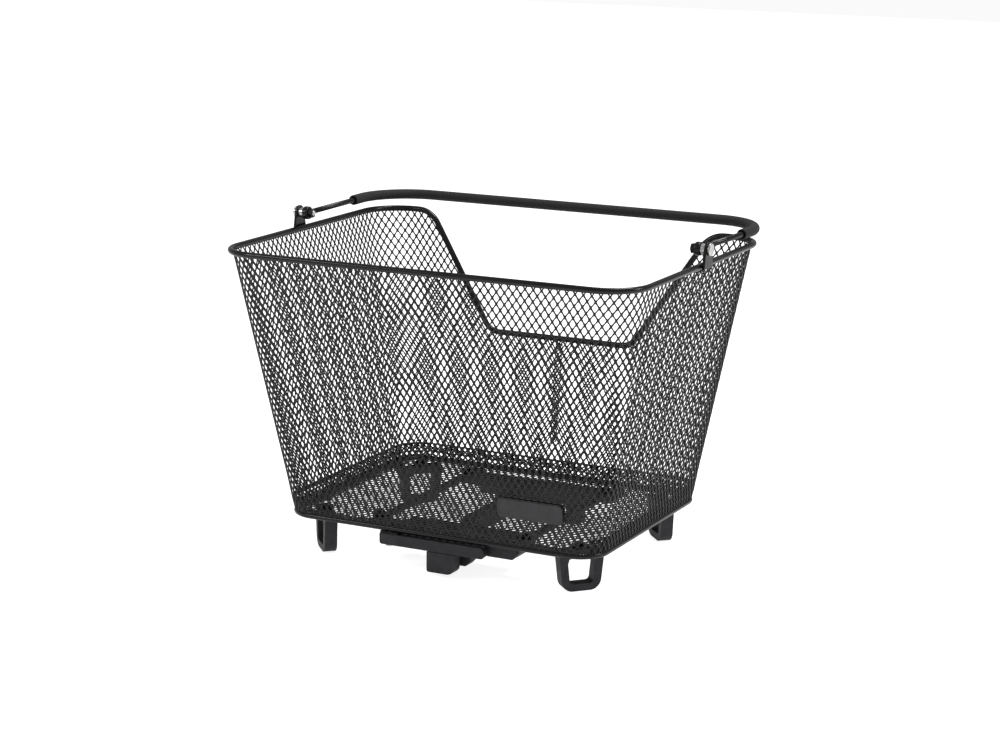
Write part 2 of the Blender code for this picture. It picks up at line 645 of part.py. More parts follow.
def make_feet():
    top = RAIL_TOP
    bottom = RING_Z - FOOT_REACH
    half_top = FOOT_TOP_WIDTH / 2
    half_bottom = FOOT_BOTTOM_WIDTH / 2
    outer = filleted([(-half_top, 0, top), (half_top, 0, top), (half_bottom, 0, bottom),
                      (-half_bottom, 0, bottom)], [0, 0, FOOT_CORNER, FOOT_CORNER], steps=5)
    lean = (half_top - half_bottom) / (top - bottom)
    high = top - FOOT_TOP_BAR
    low = bottom + FOOT_BAR
    half_high = half_top - lean * FOOT_TOP_BAR - FOOT_POST
    half_low = half_bottom + lean * FOOT_BAR - FOOT_POST
    window = filleted([(-half_high, 0, high), (half_high, 0, high), (half_low, 0, low),
                       (-half_low, 0, low)], [WINDOW_CORNER] * 4, steps=3)
    for name, (side_x, side_y) in FEET.items():
        place = (side_x * FOOT_X, RING_SHIFT + side_y * FOOT_Y, 0)
        turn = (0, 0, -side_x * side_y * FOOT_TURN)
        half = FOOT_THICKNESS / 2
        foot = add_object("foot_" + name, prism([(p.x, p.z) for p in outer], -half, half, "XZ"),
                          "moulded_plastic", place, turn)
        cutter = add_object("foot_window_" + name,
                            prism([(p.x, p.z) for p in window], -half - CUT_PAST, half + CUT_PAST, "XZ"),
                            None, place, turn)
        cut(foot, cutter)
        cut(foot, add_object("foot_hole_" + name,
                             cylinder(SCREW_HOLE, -FOOT_TOP_BAR - CUT_PAST, CUT_PAST, "Z",
                                      (place[0], place[1], top), 16)))


def make_floor_screws():
    names = ["rail_screw_near_left", "rail_screw_near_right", "rail_screw_far_left", "rail_screw_far_right"]
    names += ["foot_screw_" + name for name in FEET]
    washer_bottom = FLOOR_TOP + GAP
    washer_top = washer_bottom + WASHER_THICKNESS
    for name, (x, y) in zip(names, (*RAIL_SCREWS, *foot_places())):
        round_plate(name.replace("screw", "washer"), "black_powder_coat", WASHER / 2, SCREW_HOLE,
                    washer_bottom, washer_top, "Z", (x, y, 0), 20)
        screw = add_object(name, cylinder(SCREW_HEAD / 2, washer_top + GAP,
                                          washer_top + GAP + SCREW_HEAD_HEIGHT, "Z", (x, y, 0), 16),
                           "black_powder_coat")
        join(screw, add_object(name + "_shank",
                               cylinder(SCREW_SHANK / 2, WEB_BOTTOM - OVERLAP, washer_top + OVERLAP, "Z",
                                        (x, y, 0), 12)))


# --- Release lever and sliding latch ----------------------------------------
def make_lever():
    pivot = add_pivot("lever_pivot", (LEVER_PIN_X, LEVER_Y, 0))
    left = -LEVER_HEEL
    right = LEVER_LENGTH + left
    low = LEVER_BOTTOM
    eye_top = LUG_BOTTOM - GAP
    corners = [(left, 0, low), (right, 0, low), (right, 0, LEVER_TOP - LEVER_CLEARANCE),
               (LEVER_STEP + OVERLAP, 0, LEVER_TOP), (LEVER_STEP, 0, eye_top), (left, 0, eye_top)]
    outline = filleted(corners, [LEVER_TIP / 2, LEVER_TIP, LEVER_TIP, 0, 0, LEVER_TIP / 3], steps=4)
    half = LEVER_THICKNESS / 2
    lever = add_object("release_lever", prism([(p.x, p.z) for p in outline], -half, half, "XZ"),
                       "moulded_plastic", parent=pivot)
    bevel(lever, LEVER_THICKNESS / 10)
    cut(lever, add_object("lever_hole", cylinder(LEVER_PIN / 2 + GAP, low - CUT_PAST, LEVER_TOP + CUT_PAST,
                                                 "Z", sides=16)))
    join(lever, add_object("lever_peg", cylinder(PEG / 2, low - PEG_LENGTH, low + CUT_PAST, "Z",
                                                 (LATCH_X - LEVER_PIN_X, 0, 0), 14)))
    head_top = low - GAP
    pin = add_object("lever_pin", cylinder(LEVER_PIN / 2, head_top - OVERLAP / 2, LEVER_TOP + OVERLAP - GAP,
                                           "Z", (LEVER_PIN_X, LEVER_Y, 0), 16), "zinc")
    join(pin, add_object("pin_head", cylinder(LEVER_PIN * 0.85, head_top - OVERLAP, head_top, "Z",
                                              (LEVER_PIN_X, LEVER_Y, 0), 16)))


def make_latch():
    top = LEVER_BOTTOM - GAP
    bottom = top - LATCH_DROP
    left = LATCH_X - LATCH_WIDTH / 2
    right = LATCH_X + LATCH_WIDTH / 2
    front = -LEVER_THICKNESS / 2
    back = front + LATCH_BODY
    pivot = add_pivot("latch_slide", (0, LEVER_Y, 0))
    corners = [(left, 0, bottom), (right, 0, bottom), (right, 0, top), (left, 0, top)]
    outline = filleted(corners, [LATCH_CORNER / 3, LATCH_CORNER, 0, 0], steps=3)
    latch = add_object("latch_hook", prism([(p.x, p.z) for p in outline], front, back, "XZ"),
                       "moulded_plastic", parent=pivot)
    toe = box((left + OVERLAP, back - OVERLAP, bottom + OVERLAP / 2),
              (left + OVERLAP + TOE_LENGTH, back + LATCH_TOE, bottom + TOE_HEIGHT))
    join(latch, add_object("latch_toe", toe))
    half = TONGUE_WIDTH / 2
    half_height = TONGUE_HEIGHT / 2
    riser_front = -front + 2 * GAP
    riser = box((TONGUE_X - half, riser_front, top - OVERLAP),
                (TONGUE_X + half, back - GAP, TONGUE_Z + half_height))
    join(latch, add_object("latch_riser", riser))
    tongue = box((TONGUE_X - half + GAP, riser_front + OVERLAP, TONGUE_Z - half_height),
                 (TONGUE_X + half - GAP, BRACKET_NEAR_Y - LEVER_Y + TONGUE_LENGTH,
                  TONGUE_Z + half_height - GAP))
    join(latch, add_object("latch_tongue", tongue))
    slot = box((LATCH_X - PEG / 2 - PEG_PLAY_LEFT, -PEG / 2 - GAP, top - PEG_LENGTH - GAP),
               (LATCH_X + PEG / 2 + PEG_PLAY_RIGHT, PEG / 2 + GAP, top + CUT_PAST))
    cut(latch, add_object("peg_slot", slot))

    start = BRACKET_NEAR_Y + TONGUE_LENGTH + GAP + SPRING_WIRE / 2
    pitch = (TUNNEL_END - GAP - SPRING_WIRE / 2 - start) / SPRING_TURNS
    coil = []
    for k in range(SPRING_TURNS * 10 + 1):
        turns = k / 10
        coil.append((TONGUE_X + SPRING_RADIUS * math.cos(2 * math.pi * turns), start + pitch * turns,
                     TONGUE_Z + SPRING_RADIUS * math.sin(2 * math.pi * turns)))
    add_object("return_spring", sweep(coil, [SPRING_WIRE / 2], 6), "spring_steel")


# --- Badge ------------------------------------------------------------------
def make_badge():
    z = RING_Z + BADGE_RISE
    lean = math.atan2(near_wall_y(RING_Z) - near_wall_y(RIM_Z), TUB_HEIGHT)
    out = (MESH / 2 + GAP) / math.cos(lean)
    outline = rounded_outline(BADGE_LENGTH, BADGE_HEIGHT, BADGE_CORNER)
    for name, start, end, shift in (("badge_plate", 0, BADGE_THICKNESS, -out - 1.5 * SKIRT_FLARE),
                                    ("badge_backplate", -BACKPLATE_THICKNESS, 0, out)):
        plate = prism(outline, start, end, "XY")
        add_object(name, plate, "badge", (BADGE_X, near_wall_y(z) + shift, z),
                   (math.pi / 2 + lean, 0, 0))


def main():
    for obj in list(bpy.data.objects):
        bpy.data.objects.remove(obj, do_unlink=True)
    make_tub()
    make_ears()
    make_handle()
    make_rails()
    make_near_bracket()
    make_far_bracket()
    make_feet()
    make_floor_screws()
    make_lever()
    make_latch()
    make_badge()


main()
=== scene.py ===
import json
import math
import bmesh
import bpy
from mathutils import Matrix, Quaternion, Vector

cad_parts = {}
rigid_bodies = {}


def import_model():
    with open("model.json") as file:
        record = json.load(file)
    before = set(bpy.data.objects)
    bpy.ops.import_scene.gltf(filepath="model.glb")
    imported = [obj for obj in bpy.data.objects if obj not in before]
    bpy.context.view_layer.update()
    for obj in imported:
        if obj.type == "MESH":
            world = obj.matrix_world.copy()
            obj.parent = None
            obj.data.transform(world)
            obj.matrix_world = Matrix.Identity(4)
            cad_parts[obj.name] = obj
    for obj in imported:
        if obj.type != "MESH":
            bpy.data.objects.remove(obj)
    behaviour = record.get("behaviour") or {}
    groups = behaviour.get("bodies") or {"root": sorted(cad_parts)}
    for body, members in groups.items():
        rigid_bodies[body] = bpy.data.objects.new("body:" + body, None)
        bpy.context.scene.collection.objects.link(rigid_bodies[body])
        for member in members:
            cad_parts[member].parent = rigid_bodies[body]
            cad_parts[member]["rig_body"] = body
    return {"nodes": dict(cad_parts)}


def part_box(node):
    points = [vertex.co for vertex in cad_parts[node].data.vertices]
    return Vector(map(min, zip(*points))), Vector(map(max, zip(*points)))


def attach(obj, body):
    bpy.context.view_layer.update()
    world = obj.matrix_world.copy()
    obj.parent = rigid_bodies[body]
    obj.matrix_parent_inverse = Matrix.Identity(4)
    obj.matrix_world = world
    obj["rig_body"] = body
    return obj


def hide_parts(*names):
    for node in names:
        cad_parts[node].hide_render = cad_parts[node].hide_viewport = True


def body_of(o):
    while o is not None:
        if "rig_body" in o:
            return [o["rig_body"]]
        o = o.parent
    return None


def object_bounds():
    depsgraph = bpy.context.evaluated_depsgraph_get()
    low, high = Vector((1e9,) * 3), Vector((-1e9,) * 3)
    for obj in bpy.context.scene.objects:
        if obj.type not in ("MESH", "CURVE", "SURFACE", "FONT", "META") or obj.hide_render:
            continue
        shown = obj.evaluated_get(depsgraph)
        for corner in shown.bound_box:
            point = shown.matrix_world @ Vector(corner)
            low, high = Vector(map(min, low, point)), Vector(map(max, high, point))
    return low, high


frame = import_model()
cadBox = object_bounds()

print("frame loaded:", len(frame["nodes"]), "pieces")

# metres, the same frame as the frame's nodes: x along the basket, y away from the lever, z up
tub = {
    "ringZ": 0.0145, "height": 0.240,
    "rimLength": 0.400, "rimWidth": 0.2976, "rimCorner": 0.036, "rimWire": 0.0056,
    "ringLength": 0.3068, "ringWidth": 0.2304, "ringCorner": 0.026, "ringWire": 0.0050,
    "ringShift": 0.0035,            # the ring sits a little towards the far side
    "dipDepth": 0.110, "dipBottom": 0.148, "dipTop": 0.292,
    "dipTopBend": 0.026, "dipBottomBend": 0.018,
    "bendSteps": 10, "wireRounding": 6,
}
rimZ = tub["ringZ"] + tub["height"]


# Finishes
finishLooks = {
    "powderCoat": {
        "slot": "black_powder_coat", "dark": (0.0046, 0.0041, 0.0050), "light": (0.0080, 0.0072, 0.0084),
        "metal": 0.0, "gloss": 0.34, "patches": 45, "grain": 1100, "roughness": (0.20, 0.31),
        "bump": 0.10, "depth": 0.0002,
    },
    "meshCoat": {
        "slot": "black_mesh", "dark": (0.017, 0.0155, 0.0165), "light": (0.027, 0.0245, 0.0262),
        "metal": 0.0, "gloss": 0.26, "patches": 60, "grain": 1600, "roughness": (0.34, 0.50),
        "bump": 0.12, "depth": 0.0002,
    },
    "foamSleeve": {
        "slot": "grip_sleeve", "dark": (0.018, 0.018, 0.019), "light": (0.032, 0.032, 0.034),
        "metal": 0.0, "gloss": 0.3, "patches": 900, "grain": 2600, "roughness": (0.66, 0.86),
        "bump": 0.35, "depth": 0.0003,
    },
    "mouldedPlastic": {
        "slot": "moulded_plastic", "dark": (0.0172, 0.0155, 0.0182), "light": (0.0285, 0.0260, 0.0298),
        "metal": 0.0, "gloss": 0.3, "patches": 70, "grain": 2200, "roughness": (0.44, 0.60),
        "bump": 0.16, "depth": 0.0002,
    },
    "springSteel": {
        "slot": "spring_steel", "dark": (0.36, 0.36, 0.38), "light": (0.50, 0.50, 0.52),
        "metal": 1.0, "gloss": 0.5, "patches": 300, "grain": 1500, "roughness": (0.25, 0.40),
        "bump": 0.05, "depth": 0.0001,
    },
    "badgePlastic": {
        "slot": "badge", "dark": (0.030, 0.029, 0.031), "light": (0.040, 0.039, 0.042),
        "metal": 0.0, "gloss": 0.32, "patches": 120, "grain": 2400, "roughness": (0.36, 0.50),
        "bump": 0.10, "depth": 0.0002,
    },
    "zinc": {
        "slot": "zinc", "dark": (0.52, 0.52, 0.51), "light": (0.72, 0.72, 0.70),
        "metal": 1.0, "gloss": 0.5, "patches": 400, "grain": 1800, "roughness": (0.20, 0.34),
        "bump": 0.06, "depth": 0.0001,
    },
}
# how every finish is mottled: where the noise starts and ends its change, and how fine it is
mottle = {"colourEnds": (0.35, 0.68), "colourDetail": 4, "roughEnds": (0.3, 0.7), "roughDetail": 3,
          "roughFiner": 3, "grainDetail": 2}
zincRings = {"centre": (0.0, 0.0, 0.2688), "perMetre": 260, "strength": 0.12, "depth": 0.0002}


def makeFinish(name, look):
    material = bpy.data.materials.new(name)
    material.use_nodes = True
    nodes = material.node_tree.nodes
    link = material.node_tree.links.new
    shader = nodes["Principled BSDF"]
    shader.inputs["Metallic"].default_value = look["metal"]
    shader.inputs["Specular IOR Level"].default_value = look["gloss"]
    where = nodes.new("ShaderNodeTexCoord").outputs["Object"]

    def noiseOf(scale, detail):
        texture = nodes.new("ShaderNodeTexNoise")
        texture.inputs["Scale"].default_value = scale
        texture.inputs["Detail"].default_value = detail
        link(where, texture.inputs["Vector"])
        return texture.outputs["Fac"]

    patches = noiseOf(look["patches"], mottle["colourDetail"])
    colours = nodes.new("ShaderNodeValToRGB")
    for end, position, colour in zip(colours.color_ramp.elements, mottle["colourEnds"],
                                     (look["dark"], look["light"])):
        end.position = position
        end.color = (*colour, 1)
    link(patches, colours.inputs["Fac"])
    link(colours.outputs["Color"], shader.inputs["Base Color"])

    grain = noiseOf(look["grain"], mottle["grainDetail"])
    rough = nodes.new("ShaderNodeMapRange")
    rough.inputs["From Min"].default_value = mottle["roughEnds"][0]
    rough.inputs["From Max"].default_value = mottle["roughEnds"][1]
    rough.inputs["To Min"].default_value = look["roughness"][0]
    rough.inputs["To Max"].default_value = look["roughness"][1]
    link(noiseOf(look["patches"] * mottle["roughFiner"], mottle["roughDetail"]), rough.inputs["Value"])
    link(rough.outputs["Result"], shader.inputs["Roughness"])

    bump = nodes.new("ShaderNodeBump")
    bump.inputs["Strength"].default_value = look["bump"]
    bump.inputs["Distance"].default_value = look["depth"]
    link(grain, bump.inputs["Height"])
    link(bump.outputs["Normal"], shader.inputs["Normal"])
    return material, bump


finishes = {}
for finishName, finishLook in finishLooks.items():
    finishes[finishName], finishBump = makeFinish(finishName, finishLook)

# the zinc heads carry fine turned rings about the pivot's axis
zincTree = finishes["zinc"].node_tree
turned = zincTree.nodes.new("ShaderNodeTexWave")
turned.wave_type = "RINGS"
turned.rings_direction = "X"
turned.inputs["Scale"].default_value = zincRings["perMetre"]
turnedAt = zincTree.nodes.new("ShaderNodeMapping")
turnedAt.inputs["Location"].default_value = [-part for part in zincRings["centre"]]
zincTree.links.new(zincTree.nodes["Texture Coordinate"].outputs["Object"], turnedAt.inputs["Vector"])
zincTree.links.new(turnedAt.outputs["Vector"], turned.inputs["Vector"])
turnedBump = zincTree.nodes.new("ShaderNodeBump")
turnedBump.inputs["Strength"].default_value = zincRings["strength"]
turnedBump.inputs["Distance"].default_value = zincRings["depth"]
zincTree.links.new(turned.outputs["Fac"], turnedBump.inputs["Height"])
zincTree.links.new(finishBump.outputs["Normal"], turnedBump.inputs["Normal"])
zincTree.links.new(turnedBump.outputs["Normal"], zincTree.nodes["Principled BSDF"].inputs["Normal"])
print("finishes made:", len(finishes))


# lengths and angles that every piece shares
making = {"samePlace": 1e-6, "roundFrom": math.radians(60), "flatWithin": math.radians(1),
          "bevelFrom": math.radians(40)}


def addPiece(name, bm, finish, body, nodes, sharpAngle=None):       # sharpAngle keeps flat faces flat
    mesh = bpy.data.meshes.new(name)
    bm.to_mesh(mesh)
    bm.free()
    mesh.shade_smooth()
    if sharpAngle is not None:
        mesh.set_sharp_from_angle(angle=math.radians(sharpAngle))
    piece = bpy.data.objects.new(name, mesh)
    bpy.context.scene.collection.objects.link(piece)
    mesh.materials.append(finishes[finish])
    if sharpAngle is not None:
        piece.modifiers.new("evenShading", "WEIGHTED_NORMAL").keep_sharp = True
    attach(piece, body)
    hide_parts(*nodes)
    return piece


def vertsIn(items):
    return [item for item in items if isinstance(item, bmesh.types.BMVert)]


def edgesIn(items):
    return [item for item in items if isinstance(item, bmesh.types.BMEdge)]


def filleted(corners, radii, steps, closed=True):      # a polyline with its corners rounded
    corners = [Vector(corner) for corner in corners]
    points = []
    count = len(corners)
    for i, corner in enumerate(corners):
        if radii[i] == 0 or (not closed and i in (0, count - 1)):
            points.append(corner)
            continue
        back = (corners[i - 1] - corner).normalized()
        ahead = (corners[(i + 1) % count] - corner).normalized()
        half = back.angle(ahead) / 2
        centre = corner + (back + ahead).normalized() * radii[i] / math.sin(half)
        first = corner + back * radii[i] / math.tan(half) - centre
        last = corner + ahead * radii[i] / math.tan(half) - centre
        turn = first.angle(last)
        for step in range(steps + 1):
            share = step / steps
            points.append(centre + (first * math.sin((1 - share) * turn)
                                    + last * math.sin(share * turn)) / math.sin(turn))
    return points


def sweptWire(points, radius, rounding, closed=False, capped=True):     # a bmesh of a round wire
    curve = bpy.data.curves.new("wirePath", "CURVE")
    curve.dimensions = "3D"
    curve.bevel_depth = radius
    curve.bevel_resolution = rounding
    curve.use_fill_caps = capped and not closed
    spline = curve.splines.new("POLY")
    spline.points.add(len(points) - 1)
    for place, point in zip(spline.points, points):
        place.co = (*point, 1)
    spline.use_cyclic_u = closed
    holder = bpy.data.objects.new("wirePath", curve)
    bpy.context.scene.collection.objects.link(holder)
    mesh = bpy.data.meshes.new_from_object(holder.evaluated_get(bpy.context.evaluated_depsgraph_get()))
    bm = bmesh.new()
    bm.from_mesh(mesh)
    bmesh.ops.remove_doubles(bm, verts=bm.verts, dist=making["samePlace"])
    bmesh.ops.recalc_face_normals(bm, faces=bm.faces)
    bpy.data.objects.remove(holder)
    bpy.data.curves.remove(curve)
    bpy.data.meshes.remove(mesh)
    return bm


def mergeInto(bm, other):
    mesh = bpy.data.meshes.new("joined")
    other.to_mesh(mesh)
    other.free()
    bm.from_mesh(mesh)
    bpy.data.meshes.remove(mesh)


# Tub wires: the rim with its dip, and the ring round the floor
def wallShare(z):
    return (z - tub["ringZ"]) / tub["height"]


def farWallY(z):
    ringY = tub["ringShift"] + tub["ringWidth"] / 2
    return ringY + (tub["rimWidth"] / 2 - ringY) * wallShare(z)


halfRim = tub["rimLength"] / 2
halfRimWidth = tub["rimWidth"] / 2
dipZ = rimZ - tub["dipDepth"]
dipXs = [(-tub["dipTop"] / 2, rimZ), (-tub["dipBottom"] / 2, dipZ),
         (tub["dipBottom"] / 2, dipZ), (tub["dipTop"] / 2, rimZ)]
dipBends = [tub["dipTopBend"], tub["dipBottomBend"], tub["dipBottomBend"], tub["dipTopBend"]]
rimCorners = [(-halfRim, -halfRimWidth, rimZ), (halfRim, -halfRimWidth, rimZ), (halfRim, halfRimWidth, rimZ)]
rimCorners += [(x, farWallY(z), z) for x, z in reversed(dipXs)] + [(-halfRim, halfRimWidth, rimZ)]
rimPath = filleted(rimCorners, [tub["rimCorner"]] * 3 + dipBends + [tub["rimCorner"]], tub["bendSteps"])
addPiece("rimWire", sweptWire(rimPath, tub["rimWire"] / 2, tub["wireRounding"], closed=True),
         "powderCoat", "tub", ["top_rim"])


def roundedOutline(length, width, corner, steps):
    near = tub["ringShift"] - width / 2
    far = tub["ringShift"] + width / 2
    corners = [(-length / 2, near), (length / 2, near), (length / 2, far), (-length / 2, far)]
    return filleted([(*place, tub["ringZ"]) for place in corners], [corner] * len(corners), steps)


ringPath = roundedOutline(tub["ringLength"], tub["ringWidth"], tub["ringCorner"], tub["bendSteps"])
addPiece("ringWire", sweptWire(ringPath, tub["ringWire"] / 2, tub["wireRounding"], closed=True),
         "powderCoat", "tub", ["bottom_ring"])
print("rim and ring swept")


# Expanded metal: a grid is poked and dissolved into diamonds, laid on the tub, then opened and thickened
lattice = {
    "longColumns": 50, "shortColumns": 36, "rows": 23,
    "strand": 0.00099, "floorStrand": 0.0014, "hemStrand": 0.0015,
    "thickness": 0.00078,
    "ridge": 0.00018,               # strands are a little higher along their middle
    "tipPull": 0.11,                # rounds the corners of each opening
    "bentFrom": 150,                # a corner of an opening turns more sharply than this, in degrees
    "sliver": 0.0006,               # cuts closer together than this are merged
    "wholeSide": 0.0024,            # half sides of an uncut diamond are longer than this
    "smallest": 1.5,                # cut diamonds narrower than this many strands stay closed
    "floorCell": (0.0077, 0.0106),
    "hemOnFloor": 0.013, "hemRows": 3, "hemRow": 0.0050, "hemShift": 0.5,
    "lapRows": 9, "lapStart": 2.5, "lapShift": 0.5,
    "lapGap": 0.0013,               # between two layers of mesh
    # the mesh stands a little outside the ring and is welded inside the rim
    "flares": ((0.0, 0.0006), (0.009, 0.0010), (0.030, 0.0004), (0.225, -0.0018), (0.240, -0.0018)),
}
# half sides from the middle of the far wall on: along x or not, signs of x and y, from the middle or not
halfSides = ((True, 1, 1, True), (False, 1, 1, False), (False, 1, -1, True), (True, 1, -1, False),
             (True, -1, -1, True), (False, -1, -1, False), (False, -1, 1, True), (True, -1, 1, False))
wallNames = ("far", "right", "near", "left")
columns = 2 * (lattice["longColumns"] + lattice["shortColumns"])


def diamondGrid(across, up):        # a grid of diamonds, one unit each way
    bm = bmesh.new()
    bmesh.ops.create_grid(bm, x_segments=across, y_segments=up, size=0.5)
    bmesh.ops.scale(bm, verts=bm.verts, vec=(across, up, 1))
    bmesh.ops.translate(bm, verts=bm.verts, vec=(across / 2, up / 2, 0))
    cells = [edge for edge in bm.edges if len(edge.link_faces) == 2]
    bmesh.ops.poke(bm, faces=bm.faces[:])
    bmesh.ops.dissolve_edges(bm, edges=cells, use_verts=False)
    return bm


def flareAt(rise):
    for (low, lowFlare), (high, highFlare) in zip(lattice["flares"], lattice["flares"][1:]):
        if rise <= high + making["samePlace"]:
            return lowFlare + (highFlare - lowFlare) * (rise - low) / (high - low)
    return lattice["flares"][-1][1]


def halfColumns(alongX):
    return (lattice["longColumns"] if alongX else lattice["shortColumns"]) / 2


def tubPoint(column, row, out=0.0):      # a place on the tub, or out from it
    column %= columns
    rise = tub["height"] * row / lattice["rows"]
    share = rise / tub["height"]
    flare = flareAt(rise) + out
    length = tub["ringLength"] + (tub["rimLength"] - tub["ringLength"]) * share + 2 * flare
    width = tub["ringWidth"] + (tub["rimWidth"] - tub["ringWidth"]) * share + 2 * flare
    corner = tub["ringCorner"] + (tub["rimCorner"] - tub["ringCorner"]) * share + flare
    for alongX, signX, signY, fromMiddle in halfSides:
        if column <= halfColumns(alongX) + making["samePlace"]:
            break
        column -= halfColumns(alongX)
    part = column / halfColumns(alongX)
    if not fromMiddle:
        part = 1 - part
    straight = (length if alongX else width) / 2 - corner
    wall = (width if alongX else length) / 2
    reach = part * (straight + corner * math.pi / 4)
    bend = max(0.0, reach - straight) / corner
    along = min(reach, straight) + corner * math.sin(bend)
    across = wall - corner + corner * math.cos(bend)
    x, y = (along, across) if alongX else (across, along)
    return Vector((signX * x, tub["ringShift"] * (1 - share) + signY * y, tub["ringZ"] + rise))


def openedMesh(bm, strand):      # each diamond gets its opening, and the sheet its thickness
    bmesh.ops.subdivide_edges(bm, edges=bm.edges[:], cuts=1)
    ridges = bm.verts.layers.int.new("ridge")
    for vert in bm.verts:
        vert[ridges] = 1
    wide = []
    for face in bm.faces:
        if 2 * face.calc_area() / face.calc_perimeter() > lattice["smallest"] * strand / 2:
            wide.append(face)
    whole = [face for face in wide if len(face.verts) == 8
             and min(edge.calc_length() for edge in face.edges) > lattice["wholeSide"]]
    cut = [face for face in wide if face not in whole]
    rims = set()
    for faces, even in ((whole, True), (cut, False)):
        made = bmesh.ops.inset_individual(bm, faces=faces, thickness=strand / 2, use_even_offset=even)
        rims.update(made["faces"])
    openings = [face for face in wide if face.is_valid and face not in rims]
    for face in openings:
        centre = face.calc_center_median()
        tips = [loop.vert for loop in face.loops if loop.calc_angle() < math.radians(lattice["bentFrom"])]
        for vert in face.verts:
            vert[ridges] = 0
        for vert in tips:
            vert.co += (centre - vert.co) * lattice["tipPull"]
    bmesh.ops.delete(bm, geom=openings, context="FACES")
    bm.normal_update()
    for vert in bm.verts:
        vert.co -= vert.normal * lattice["thickness"] / 2
    bmesh.ops.solidify(bm, geom=bm.faces[:], thickness=-lattice["thickness"])
    bmesh.ops.recalc_face_normals(bm, faces=bm.faces)
    bm.normal_update()
    for vert in bm.verts:
        if vert[ridges] and not any(len(edge.link_faces) < 2 for edge in vert.link_edges):
            vert.co += vert.normal * lattice["ridge"]
    return bm


longHalf = lattice["longColumns"] / 2
farEnd = longHalf + lattice["shortColumns"]
nearEnd = farEnd + lattice["longColumns"]
leftEnd = nearEnd + lattice["shortColumns"]


def wallOf(column):
    same = making["samePlace"]
    if column <= longHalf + same or column >= leftEnd - same:
        return "far"
    if column < farEnd - same:
        return "right"
    return "near" if column <= nearEnd + same else "left"


def closeBand(bm, x):       # the band's ends meet in the middle of the far wall, and their half diamonds join
    bmesh.ops.remove_doubles(bm, verts=bm.verts, dist=1e-5)
    seam = [edge for edge in bm.edges if len(edge.link_faces) == 2 and edge.verts[0].co.y > 0
            and all(abs(vert.co.x - x) < 2e-4 for vert in edge.verts)]
    bmesh.ops.dissolve_edges(bm, edges=seam, use_verts=False)


band = diamondGrid(columns, lattice["rows"])
walls = band.faces.layers.int.new("wall")
for face in band.faces:
    face[walls] = wallNames.index(wallOf(face.calc_center_median().x))
for vert in band.verts:
    vert.co = tubPoint(vert.co.x, vert.co.y)
closeBand(band, 0.0)

dipPath = filleted([(-halfRim, 0, rimZ), *[(x, 0, z) for x, z in dipXs], (halfRim, 0, rimZ)],
                   [0, *dipBends, 0], 6, closed=False)


def dipHeight(x):
    for first, last in zip(dipPath, dipPath[1:]):
        if first.x <= x <= last.x:
            return first.z + (last.z - first.z) * (x - first.x) / max(last.x - first.x, 1e-9)
    return rimZ


def trimToDip(bm):
    for first, last in zip(dipPath[1:-1], dipPath[2:-1]):
        low = min(first.z, last.z)
        high = max(first.z, last.z)
        crossed = []
        for face in bm.faces:
            xs = [vert.co.x for vert in face.verts]
            zs = [vert.co.z for vert in face.verts]
            if min(xs) < last.x and max(xs) > first.x and min(zs) < high + 1e-4 and max(zs) > low - 1e-4:
                crossed.append(face)
        around = {edge for face in crossed for edge in face.edges}
        corners = {vert for face in crossed for vert in face.verts}
        along = last - first
        bmesh.ops.bisect_plane(bm, geom=[*crossed, *around, *corners], dist=1e-5, plane_co=first,
                               plane_no=(-along.z, 0, along.x))
    above = [face for face in bm.faces
             if face.calc_center_median().z > dipHeight(face.calc_center_median().x) + 1e-5]
    bmesh.ops.delete(bm, geom=above, context="FACES")
    bmesh.ops.remove_doubles(bm, verts=bm.verts, dist=lattice["sliver"])
    bmesh.ops.dissolve_degenerate(bm, edges=bm.edges[:], dist=lattice["sliver"])


for number, wallName in enumerate(wallNames):
    bm = band.copy()
    layer = bm.faces.layers.int["wall"]
    others = [face for face in bm.faces if face[layer] != number]
    bmesh.ops.delete(bm, geom=others, context="FACES")
    if wallName == "far":
        trimToDip(bm)
    bmesh.ops.recalc_face_normals(bm, faces=bm.faces)
    piece = addPiece(wallName + "WallLattice", openedMesh(bm, lattice["strand"]), "meshCoat", "tub",
                     [wallName + "_wall_mesh"])
    print(piece.name, len(piece.data.polygons), "faces")
band.free()


def floorSheet(rise, shift, bandWidth=None):      # flat mesh inside the ring, or only a band along its edge
    across = math.ceil(tub["ringLength"] / lattice["floorCell"][0]) + 1
    up = math.ceil(tub["ringWidth"] / lattice["floorCell"][1]) + 1
    bm = diamondGrid(across, up)
    for vert in bm.verts:
        vert.co = ((vert.co.x - across / 2 + shift) * lattice["floorCell"][0],
                   (vert.co.y - up / 2 + shift) * lattice["floorCell"][1] + tub["ringShift"],
                   tub["ringZ"] + rise)
    if bandWidth:
        inside = []
        for face in bm.faces:
            centre = face.calc_center_median()
            edgeX = tub["ringLength"] / 2 - abs(centre.x)
            edgeY = tub["ringWidth"] / 2 - abs(centre.y - tub["ringShift"])
            if min(edgeX, edgeY) > bandWidth:
                inside.append(face)
        bmesh.ops.delete(bm, geom=inside, context="FACES")
    for first, last in zip(ringPath, ringPath[1:] + ringPath[:1]):
        along = last - first
        if along.length > making["samePlace"]:
            bmesh.ops.bisect_plane(bm, geom=[*bm.verts, *bm.edges, *bm.faces], dist=making["samePlace"],
                                   plane_co=first, plane_no=(along.y, -along.x, 0), clear_outer=True)
    bmesh.ops.remove_doubles(bm, verts=bm.verts, dist=lattice["sliver"])
    bmesh.ops.dissolve_degenerate(bm, edges=bm.edges[:], dist=lattice["sliver"])
    return openedMesh(bm, lattice["floorStrand"])


floorPanel = floorSheet(0.0, 0.0)
# the walls' lower edge is turned in over the floor
mergeInto(floorPanel, floorSheet(lattice["lapGap"], lattice["hemShift"], lattice["hemOnFloor"]))
